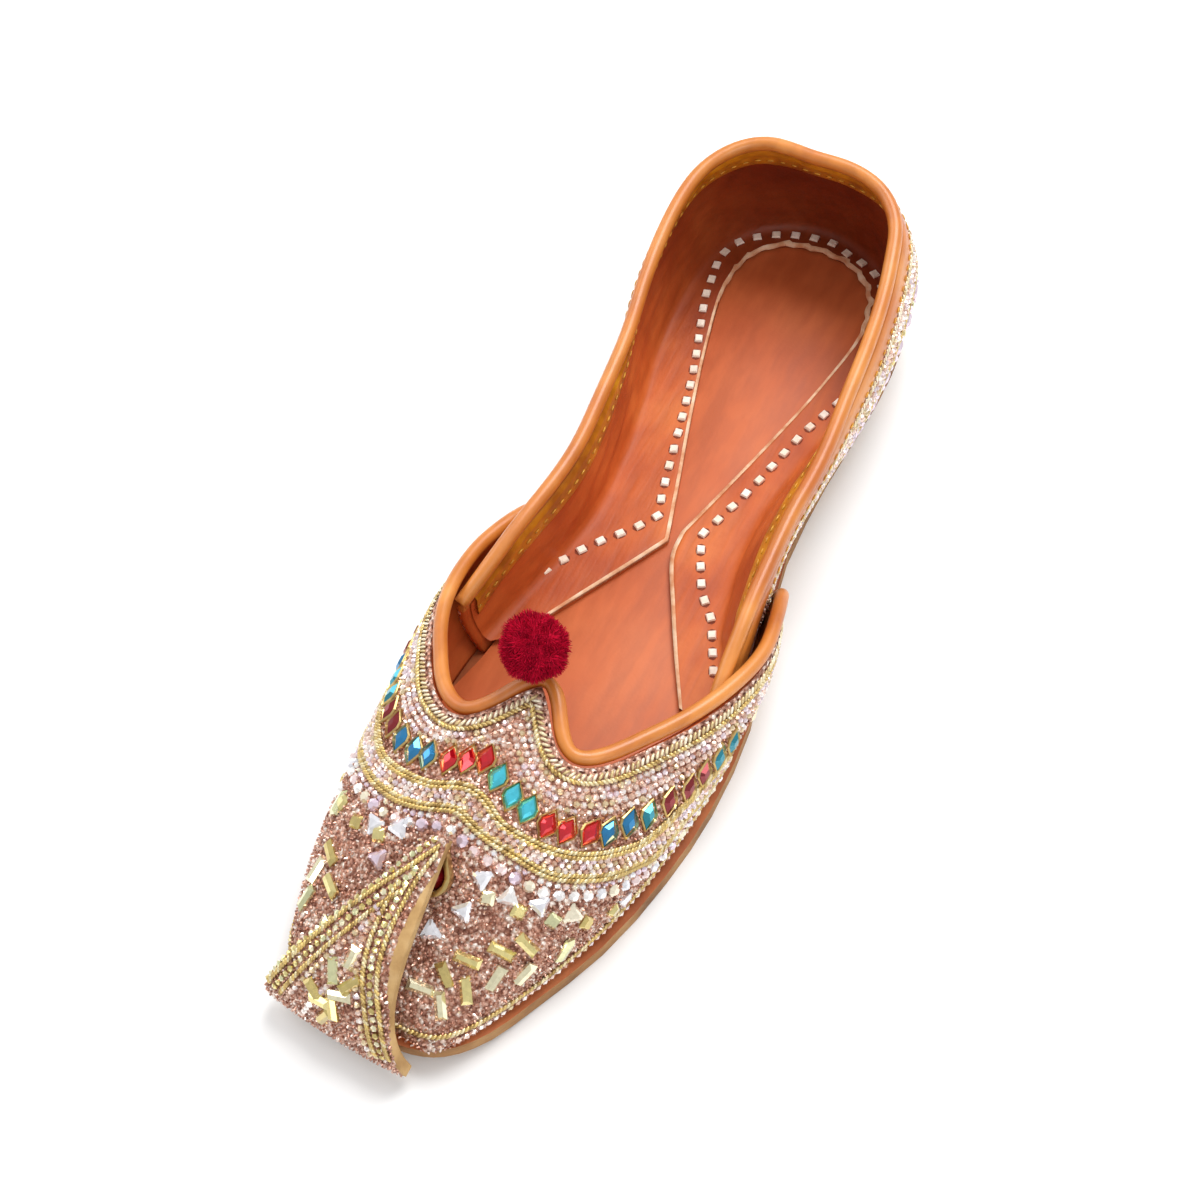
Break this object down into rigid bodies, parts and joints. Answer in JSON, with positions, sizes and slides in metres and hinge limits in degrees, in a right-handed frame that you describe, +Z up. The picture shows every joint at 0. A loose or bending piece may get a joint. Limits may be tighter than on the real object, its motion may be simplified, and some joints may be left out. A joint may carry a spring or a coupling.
{
  "type": "mojari shoe",
  "caption": "Flat slip-on leather mojari for a left foot, with a heart-cut throat, a curled toe flap, rolled piping and a pompom.",
  "frame": {"origin": "on the floor under the middle of the shoe's bounding box", "axes": "+Z up, -Y towards the toe, +Y towards the heel, +X towards the wearer's outer side"},
  "size_m": [0.075, 0.2464, 0.0544],
  "materials": {
    "sole_leather": "matte",
    "beaded_cloth": "satin",
    "piping_leather": "satin",
    "footbed_leather": "satin",
    "lining_leather": "satin",
    "pompom_yarn": "matte",
    "gilt_metal": "polished",
    "red_glass": "gloss"
  },
  "bodies": {
    "root": {"outsole": "sole_leather", "toe_flap": "beaded_cloth", "vamp": "beaded_cloth", "quarter": "beaded_cloth", "vamp_piping": "piping_leather", "quarter_piping": "piping_leather", "insole": "footbed_leather", "turn_in_medial": "lining_leather", "turn_in_lateral": "lining_leather", "pompom": "pompom_yarn", "tip_bezel": "gilt_metal", "tip_stone": "red_glass", "heel_bezel": "gilt_metal", "heel_stone": "red_glass"}
  },
  "joints": []
}
